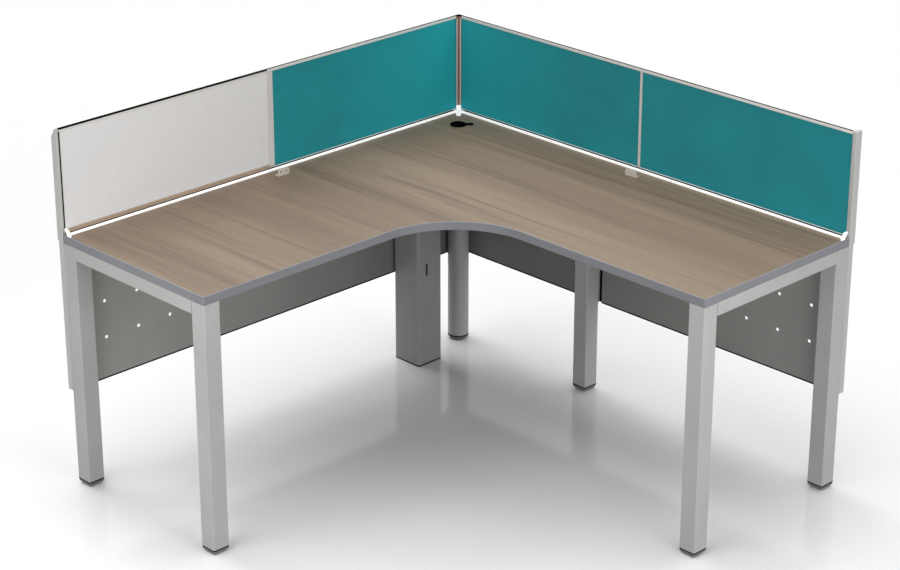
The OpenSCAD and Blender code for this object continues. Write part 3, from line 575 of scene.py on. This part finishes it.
def screen_fabric():
    """Teal screen cloth in plain weave, laid out flat along its wing."""
    material, tree, place = start("teal_screen_cloth")
    run, reach, up = along_wing(tree, place)
    cloth = add(tree, "ShaderNodeCombineXYZ", {0: run, 1: up}).outputs[0]
    over = add(tree, "ShaderNodeTexChecker", {"Vector": cloth, "Scale": 1 / SQUARE}).outputs["Fac"]
    warp, weft = [add(tree, "ShaderNodeTexWave", {"Vector": cloth, "Scale": math.pi / 10 / THREAD},
                      bands_direction=way).outputs["Fac"] for way in "XY"]
    height = add(tree, "ShaderNodeMix", {0: over, 2: warp, 3: weft}).outputs[0]
    slub = noise(tree, stretched(tree, cloth, (9.0, 320.0, 1.0)), 1.0, 2.0)
    cloud = noise(tree, cloth, 7.0, 3.0)
    tone = blend(tree, spread(tree, cloud, 0.3, 0.7), shade(10, 145, 155), shade(14, 157, 165))
    tone = blend(tree, spread(tree, slub, 0.4, 0.7, 0.0, 0.25), tone, shade(8, 130, 139))
    # Painted shade: darker where the weave lies low, in the hollows between the threads.
    tone = blend(tree, spread(tree, height, 0.0, 0.6, 0.3, 0.0), tone, shade(6, 108, 115))
    # Painted light: lighter and more vivid towards the corner, against the shade there.
    tone = blend(tree, spread(tree, reach, 0.0, 0.5, 0.7, 0.0), tone, shade(18, 190, 200))
    return finish_with(material, tree, base_color=tone, roughness=0.85, sheen_weight=0.05,
                       sheen_roughness=0.5, normal=bumped(tree, height, 0.0003, 0.5))


FINISH["teal_fabric"] = screen_fabric()
print(len(FINISH), "finishes, and a thread is", round(THREAD / MM, 2), "mm wide")

# %% [markdown]
# ## Rounded edges
#
# The construction model has sharp edges. Folded sheet, moulded plastic and a trimmed edge band never
# do, and a rounded edge is what catches a line of light. A copy of each such piece gets them: its
# triangles are welded, flat neighbours are dissolved back into one face, and outward edges that turn
# by more than 35 degrees are bevelled. The new strips are marked with the `edge` attribute for the
# finishes.

# %% Define how a piece is shown
BLACK = "black_plastic"
CREASE = math.radians(50)


def open_edges(work):
    """How many edges don't join exactly two faces."""
    return sum(len(edge.link_faces) != 2 for edge in work.edges)


def show(name, work, body, slot, stands_for=(), material=None):
    print(name, len(work.faces), "faces,", open_edges(work), "open edges")
    mesh = bpy.data.meshes.new(name)
    work.to_mesh(mesh)
    work.free()
    mesh.polygons.foreach_set("use_smooth", [True] * len(mesh.polygons))
    mesh.set_sharp_from_angle(angle=CREASE)
    mesh.materials.append(material or FINISH[slot])
    piece = bpy.data.objects.new(name, mesh)
    bpy.context.scene.collection.objects.link(piece)
    weights = piece.modifiers.new("flat_faces_stay_flat", "WEIGHTED_NORMAL")
    weights.keep_sharp = True
    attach(piece, body)
    if stands_for:
        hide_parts(*stands_for)


print("edges that turn by more than", round(math.degrees(CREASE)), "degrees stay sharp")

# %% [markdown]
# A reworked copy of a construction piece takes over that piece's body, slot and finish. A rail's
# finish depends on the way it runs, and the middle posts are painted a shade lighter than the end
# ones, as painted light.

# %% Define how a copy stands in for its piece
def finish_of(node):
    """A node's finish. Aluminium rails get the die lines that run their own way."""
    if "mid_post" in node:
        return MID_POST
    if SLOT_OF[node] == "trim_aluminium" and "rail" in node:
        return ALUMINIUM["Y" if node.endswith("left") else "X"]
    return FINISH[SLOT_OF[node]]


def stand_in(node, work, ending):
    """Shows a reworked copy of a construction piece in that piece's place."""
    show(node + ending, work, BODY_OF[node], SLOT_OF[node], [node], finish_of(node))


print("a middle post is finished in", finish_of("screen_mid_post_left").name)

# %% [markdown]
# The bevel works on whole faces, so the copy is cleaned first: a construction mesh comes as loose
# triangles, and a bevel would stop at each of their seams. A closed piece has no open edge, which
# is one that doesn't join exactly two faces; `show` prints their number for every piece.

# %% Define how edges are rounded
WELD = 0.002 * MM
FLAT_TURN = math.radians(0.5)
EDGE_TURN = math.radians(35)


def welded(node):
    """A bmesh of a construction piece, with whole faces in place of its triangles."""
    work = bmesh.new()
    work.from_mesh(frame["nodes"][node].data)
    bmesh.ops.remove_doubles(work, verts=work.verts, dist=WELD)
    bmesh.ops.dissolve_limit(work, angle_limit=FLAT_TURN, verts=work.verts, edges=work.edges)
    return work


def any_edge(edge):
    """Chooses every edge."""
    return True


def round_edges(work, radius, segments=2, chosen=any_edge):
    """Rounds the outward edges that the test chooses, and marks the new strips."""
    marks = work.faces.layers.float.new("edge")
    sharp = [edge for edge in work.edges
             if len(edge.link_faces) == 2 and edge.is_convex
             and edge.calc_face_angle() > EDGE_TURN and chosen(edge)]
    made = bmesh.ops.bevel(work, geom=sharp, offset=radius * MM, offset_type="OFFSET",
                           segments=segments, profile=0.5, affect="EDGES", material=-1,
                           clamp_overlap=True)
    for face in made["faces"]:
        face[marks] = 1.0
    return len(sharp)


def rounded(node, radius, segments=2, chosen=any_edge):
    """A copy of a construction piece with its outward edges rounded, in its place."""
    work = welded(node)
    count = round_edges(work, radius, segments, chosen)
    print(node, count, "edges rounded")
    stand_in(node, work, "_rounded")


print("edges that turn by more than", round(math.degrees(EDGE_TURN)), "degrees can be rounded")

# %% [markdown]
# Which edges are rounded depends on the piece. On folded sheet only the folds are, which lie on the
# outline of its box: the rims of its holes stay sharp, as a punch leaves them. The edge band has an
# inner wall against the board, so only its outer wall is trimmed round: the one that faces away from
# the board's heart, the middle of the square where the wings meet. The end beams are welded flush to
# the front legs and only butt against the back legs, where a fine joint shows.

# %% Choose the edges of each kind of piece
HEART_DEPTH = 320 * MM
HEART = Vector((CAD_BOX[0].x + HEART_DEPTH, CAD_BOX[1].y - HEART_DEPTH, 0.0))
ON_BOX = 0.05 * MM
BACK_LEG_REACH = 80 * MM


def middle_of(edge):
    """The middle of an edge."""
    return (edge.verts[0].co + edge.verts[1].co) / 2


def on_outline(node):
    """Chooses the edges that lie on two sides of the piece's box."""
    low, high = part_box(node)

    def chosen(edge):
        middle = middle_of(edge)
        gaps = [min(abs(middle[axis] - low[axis]), abs(middle[axis] - high[axis]))
                for axis in range(3)]
        return sum(gap < ON_BOX for gap in gaps) >= 2
    return chosen


def on_outer_wall(edge):
    """Chooses the edges of upright walls that face away from the heart of the board."""
    wall = min(edge.link_faces, key=lambda face: abs(face.normal.z))
    return wall.normal.dot(middle_of(edge) - HEART) > 0 and abs(wall.normal.z) < 0.5


def at_back_leg(edge):
    """Chooses the edges of an end beam where it meets the back leg."""
    middle = middle_of(edge)
    on_left_wing = middle.x + middle.y < 0
    reach = middle.x - CAD_BOX[0].x if on_left_wing else CAD_BOX[1].y - middle.y
    return reach < BACK_LEG_REACH


print("heart of the board", [round(part, 3) for part in HEART])

# %% [markdown]
# The band's arrises are trimmed to a little over a millimetre. The sheet panels have the radius of
# their press brake. The corner piece, the clips and the cable outlet come out of moulds or are
# tumbled, so all their edges are rounded.

# %% Round the pieces
rounded("edge_band", 1.4, 3, on_outer_wall)
for node in ("modesty_panel_left", "modesty_panel_right_inner", "modesty_panel_right_outer"):
    rounded(node, 1.8, 3, on_outline(node))
for node in ("panel_end_trim_left", "panel_end_trim_right", "edge_rail_left", "edge_rail_right"):
    rounded(node, 0.9, 2, on_outline(node))
for node in ("beam_end_left", "beam_end_right"):
    rounded(node, 1.0, 2, at_back_leg)
rounded("rail_corner_piece", 1.2, 3)
for node in ("desk_clip_left", "desk_clip_right"):
    rounded(node, 0.8)
for node in ("grommet_cap", "grommet_sleeve"):
    rounded(node, 0.5)

# %% [markdown]
# ## Bowl-shaped feet
#
# The pad of a levelling foot is a shallow bowl: as wide as the leg at its rim, narrow at the floor,
# so that it can tilt a little on an uneven floor. It is lofted: a square with rounded corners is
# extruded downwards level by level, and drawn in at each. Under the round corner leg the corners
# are rounded until they meet, which makes a circle.

# %% Define the bowl of a foot
PAD_TOP = 13.0
STEM_CUT = PAD_TOP + 0.2
STEM_END = 9.0
FEET = [node for node in frame["nodes"] if node.startswith("foot_")]
ROUND_SHARE, ROUND_STEPS = 0.495, 12         # the corner foot: a share of its width
SQUARE_CORNER, SQUARE_STEPS = 4.0, 4         # the others: millimetres
BOWL = [(PAD_TOP, 0.975), (12.4, 1.0), (10.0, 0.995), (7.5, 0.965), (5.0, 0.91), (2.8, 0.83),
        (1.2, 0.74), (0.3, 0.65), (0.0, 0.58)]


def close_cut(work, height, **side):
    """Cuts a bmesh flat at a height, clears one side of the cut and closes it again."""
    cut = bmesh.ops.bisect_plane(work, geom=work.verts[:] + work.edges[:] + work.faces[:],
                                 plane_co=(0, 0, height * MM), plane_no=(0, 0, 1),
                                 **side)["geom_cut"]
    rims = [part for part in cut if isinstance(part, bmesh.types.BMEdge)]
    bmesh.ops.edgeloop_fill(work, edges=rims)
    bmesh.ops.recalc_face_normals(work, faces=work.faces)


def bowl(width, corner, steps):
    """A pad, standing on the floor at the middle of the scene, its corners rounded in steps."""
    work = bmesh.new()
    bmesh.ops.create_grid(work, x_segments=1, y_segments=1, size=width / 2)
    bmesh.ops.bevel(work, geom=work.verts[:], offset=corner, segments=steps, profile=0.5,
                    affect="VERTICES", material=-1)
    top = work.faces[:][0]
    rim = top
    drawn = 1.0
    for height, share in BOWL:
        if height != PAD_TOP:
            made = bmesh.ops.extrude_face_region(work, geom=[rim])["geom"]
            if rim != top:
                bmesh.ops.delete(work, geom=[rim], context="FACES_ONLY")
            rim = next(part for part in made if isinstance(part, bmesh.types.BMFace))
        for vert in rim.verts:
            vert.co = (vert.co.x * share / drawn, vert.co.y * share / drawn, height * MM)
        drawn = share
    bmesh.ops.recalc_face_normals(work, faces=work.faces)
    return work


print(len(FEET), "feet, their bowls drawn in", len(BOWL), "levels")

# %% [markdown]
# The stem stays the construction model's own: it is cut off just above the old pad, and its end is
# pushed down into the new one.

# %% Loft the feet
def moulded_foot(node):
    """A foot with a bowl-shaped pad under its stem, in place of the plain one."""
    low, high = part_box(node)
    middle = (low + high) / 2
    stem = welded(node)
    close_cut(stem, STEM_CUT, clear_inner=True)
    for vert in stem.verts:
        if vert.co.z < (STEM_CUT + 0.1) * MM:
            vert.co.z = STEM_END * MM
    width = high.x - low.x
    if node == "foot_corner":
        pad = bowl(width, ROUND_SHARE * width, ROUND_STEPS)
    else:
        pad = bowl(width, SQUARE_CORNER * MM, SQUARE_STEPS)
    bmesh.ops.translate(pad, verts=pad.verts, vec=(middle.x, middle.y, 0.0))
    carrier = bpy.data.meshes.new("pad")
    pad.to_mesh(carrier)
    pad.free()
    stem.from_mesh(carrier)
    bpy.data.meshes.remove(carrier)
    stand_in(node, stem, "_moulded")


for node in FEET:
    moulded_foot(node)

# %% [markdown]
# ## Seals and covers on the screens
#
# The construction model stops at the rigid profiles. The real screens also carry small soft ones,
# and they draw the thin dark lines of the photograph: a rubber seal along the back of each rail,
# trims round the marker board, and a black strip on the worktop under the screens, painted shade
# for the shaded gap between the screens and the white rail. Each is one outline pulled along a
# straight run, so one helper serves all. It takes places by three distances in millimetres: along a
# wing from the corner, out from the screens towards the user, and up from the floor. The screens are
# the hindmost pieces, so the corner where their fronts would meet lies their own depth inside the
# box. The left wing mirrors the right one.

# %% Define profiles that run along a wing
SCREEN_DEPTH = 25 * MM
CORNER = Vector((CAD_BOX[0].x + SCREEN_DEPTH, CAD_BOX[1].y - SCREEN_DEPTH, 0.0))


def on_wing(wing, along, out, up):
    """A place on a wing, in metres."""
    across = (along, -out) if wing == "right" else (out, -along)
    return CORNER + Vector((across[0] * MM, across[1] * MM, up * MM))


def pulled(outline, run):
    """A closed solid: a flat outline, pulled along a straight run."""
    work = bmesh.new()
    start_face = work.faces.new([work.verts.new(point) for point in outline])
    ends = bmesh.ops.extrude_face_region(work, geom=[start_face])["geom"]
    bmesh.ops.translate(work, verts=[part for part in ends if isinstance(part, bmesh.types.BMVert)],
                        vec=run)
    bmesh.ops.recalc_face_normals(work, faces=work.faces)
    return work


def profile(name, wing, section, first, last, radius, slot=BLACK, material=None):
    """A profile whose section is given as pairs of out and up, with rounded long edges."""
    run = on_wing(wing, last, 0, 0) - on_wing(wing, first, 0, 0)
    along = run.normalized()

    def lengthwise(edge):
        return abs((edge.verts[1].co - edge.verts[0].co).normalized().dot(along)) > 0.9

    work = pulled([on_wing(wing, first, out, up) for out, up in section], run)
    round_edges(work, radius, chosen=lengthwise)
    show(name, work, "desk_frame", slot, material=material)


print("the screens' corner", [round(part, 4) for part in CORNER])

# %% [markdown]
# The rails and the corner post are cut down a little first, so that the seals on top of them end at
# the object's true height. A level plane cuts the piece, what is above it is cleared away, and the
# open outline that the plane leaves is filled with a new face.

# %% Cut the rails down for their seals
SEAL_FOOT = 1048.4
SEAL_TOP = 1049.95


def lowered(node, height):
    """A copy of a construction piece, cut off flat at a height and closed again."""
    work = welded(node)
    close_cut(work, height, clear_outer=True)
    stand_in(node, work, "_cut")


for node in ("screen_top_rail_left", "screen_top_rail_right", "screen_corner_post"):
    lowered(node, SEAL_FOOT)

# %% [markdown]
# The rail seal is a narrow bead on the back of its rail, and the gap strip a black angle that lies
# on the worktop and turns up against the screen: painted shade for the shaded gap there. On the left
# wing the rail seal ends where the marker board begins, which has a cap of its own.

# %% Lay the seals
RAIL_FIRST = 11
RAIL_LAST = {"left": 1493, "right": 1487}
BOARD_FIRST = 767
SEAL_LAST = {"left": BOARD_FIRST - 1, "right": RAIL_LAST["right"]}
SEAL = [(-3.0, SEAL_FOOT), (-3.4, 1049.5), (-4.2, SEAL_TOP), (-7.4, SEAL_TOP), (-8.0, 1049.5),
        (-8.0, SEAL_FOOT)]
STRIP_FIRST = 27
STRIP = [(0.05, 750.05), (14.6, 750.05), (14.6, 750.9), (2.6, 750.9), (1.3, 752.3), (0.05, 752.3)]
for wing in ("left", "right"):
    profile("rail_seal_" + wing, wing, SEAL, RAIL_FIRST, SEAL_LAST[wing], 0.25)
    # Painted shade: the black gap strip lies where the gap in front of the screen is shaded.
    profile("gap_strip_" + wing, wing, STRIP, STRIP_FIRST, RAIL_LAST[wing] - 1, 0.3)

# %% [markdown]
# ## The marker board's frame
#
# The marker board sits in the same rails as the cloth tiles, but has three trims of its own: a black
# cap over its rail, a black bead beside the end post, and a ledge along its foot that keeps the
# pens' dust off the worktop. The ledge is painted brown-grey, a painted reflection of the wood of
# the worktop.

# %% Frame the marker board
BOARD_LAST = 1492
# Painted reflection: the ledge's brown-grey stands for the worktop's wood mirrored in it.
LEDGE_REFLECTION_PAINT = powder_coat("ledge_powder_coat", shade(184, 158, 132))
HEAD_SEAL = [(0.05, 1046.6), (0.8, 1046.9), (0.8, 1049.5), (0.3, SEAL_TOP), (-7.5, SEAL_TOP),
             (-8.0, 1049.5), (-8.0, SEAL_FOOT), (0.05, SEAL_FOOT)]
LEDGE = [(0.1, 752.4), (2.6, 752.4), (2.6, 753.6), (1.5, 754.4), (1.5, 762.4), (0.1, 763.2)]
SIDE_BEAD = [(-1.75, 763.3), (-0.1, 763.3), (-0.1, 1041.4), (-1.75, 1041.4)]
profile("board_head_seal", "left", HEAD_SEAL, BOARD_FIRST - 1, BOARD_LAST + 0.9, 0.25)
profile("board_ledge", "left", LEDGE, BOARD_FIRST - 1, BOARD_LAST, 0.3, "clip_paint",
        material=LEDGE_REFLECTION_PAINT)
profile("board_side_bead", "left", SIDE_BEAD, BOARD_LAST - 2.6, BOARD_LAST + 0.4, 0.3)

# %% [markdown]
# ## The white rail's end caps
#
# Each end of the white rail is closed by a leaning cap, upright against the screen's post and
# reaching out over the worktop's edge at its foot. It is one outline with generous rounding, because
# it is moulded in one shot. It stands in for the construction model's plainer block.

# %% Mould the end caps
CAP_INNER, CAP_OUTER = 1494.0, 1500.0
CAP_LEAN = [(22.0, 750.0), (33.2, 750.0), (33.2, 753.5), (20.5, 770.0), (9.4, 770.0), (9.4, 766.5)]


def rail_cap(wing):
    """The leaning cap that closes one end of the white rail."""
    node = "rail_end_cap_" + wing
    work = pulled([on_wing(wing, CAP_INNER, out, up) for out, up in CAP_LEAN],
                  on_wing(wing, CAP_OUTER, 0, 0) - on_wing(wing, CAP_INNER, 0, 0))
    round_edges(work, 1.3, 3)
    stand_in(node, work, "_moulded")


for wing in ("left", "right"):
    rail_cap(wing)

# %% [markdown]
# ## The corner post's cover
#
# Seen from the desk, the corner post is a narrow bronze face between two silver cover strips, with a
# black plug at its head. The strips snap on over the screws of the rails. The post's front face
# stands at 45 degrees, so its pieces are drawn in their own plan, looking down, and pulled upwards.

# %% Dress the corner post
POST_FRONT = Vector((1.0, -1.0, 0.0)).normalized()
POST_SIDE = Vector((1.0, 1.0, 0.0)).normalized()
POST_FACE = CORNER + Vector((RAIL_FIRST / 2, -RAIL_FIRST / 2, 0.0)) * MM


def on_post(side, front, up):
    """A place by its distance beside the middle of the post's front face and in front of it."""
    return POST_FACE + (POST_SIDE * side + POST_FRONT * front) * MM + Vector((0, 0, up * MM))


def post_cover(name, plan, low, high, radius, slot):
    """An upright piece on the corner post, from a plan of pairs of side and front."""
    work = pulled([on_post(side, front, low) for side, front in plan],
                  Vector((0, 0, (high - low) * MM)))
    round_edges(work, radius)
    show(name, work, "desk_frame", slot)


COVER_FOOT, COVER_HEAD = 765.5, 1041.5
POST_STRIP = [(3.4, 0.05), (7.5, 0.05), (7.2, 0.7), (3.6, 1.0)]
POST_PLUG = [(-7.7, 0.3), (7.7, 0.3), (7.7, 0.0), (13.4, -5.7), (7.7, -11.4), (0.0, -19.1),
             (-7.7, -11.4), (-13.4, -5.7), (-7.7, 0.0)]
for name, turn in (("left", -1), ("right", 1)):
    post_cover("post_strip_" + name, [(side * turn, front) for side, front in POST_STRIP],
               COVER_FOOT, COVER_HEAD, 0.2, "trim_aluminium")
post_cover("post_head_plug", POST_PLUG, SEAL_FOOT, SEAL_TOP, 0.3, BLACK)

# %% [markdown]
# ## Guards on the panels' lower edges
#
# A folded sheet panel ends in a raw fold at shin height. A black guard is pushed over it, which
# shows as a thin dark line along the panel's lower edge.

# %% Push on the edge guards
GUARD = [(0.9, 284.9), (0.9, 288.4), (0.05, 288.7), (0.05, 285.2), (-8.0, 284.95), (-8.0, 284.2),
         (0.2, 284.2)]
GUARDED = {"left": ("left", 1, 1485), "right_inner": ("right", 1, 599),
           "right_outer": ("right", 613, 1485)}
for name, (wing, first, last) in GUARDED.items():
    profile("edge_guard_" + name, wing, GUARD, first, last, 0.2)

# %% [markdown]
# ## The finish of every other piece
#
# All other construction pieces are right as they are, and only get their finish. Their meshes are
# left alone: a finish goes into the slot of its material. The loop also meets the pieces that have a
# stand-in. They aren't shown, so that does no harm.

# %% Give every other piece its finish
for node, piece in frame["nodes"].items():
    piece.data.materials.clear()
    piece.data.materials.append(finish_of(node))
print(len(frame["nodes"]), "construction pieces have a finish")

# %% [markdown]
# ## The construction model's box
#
# The box that the construction model filled when it was loaded. The dressed desk has to
# stay inside the construction model's box.

# %% Print the construction model's box
print("construction model's box", [[round(part, 4) for part in corner] for corner in CAD_BOX])
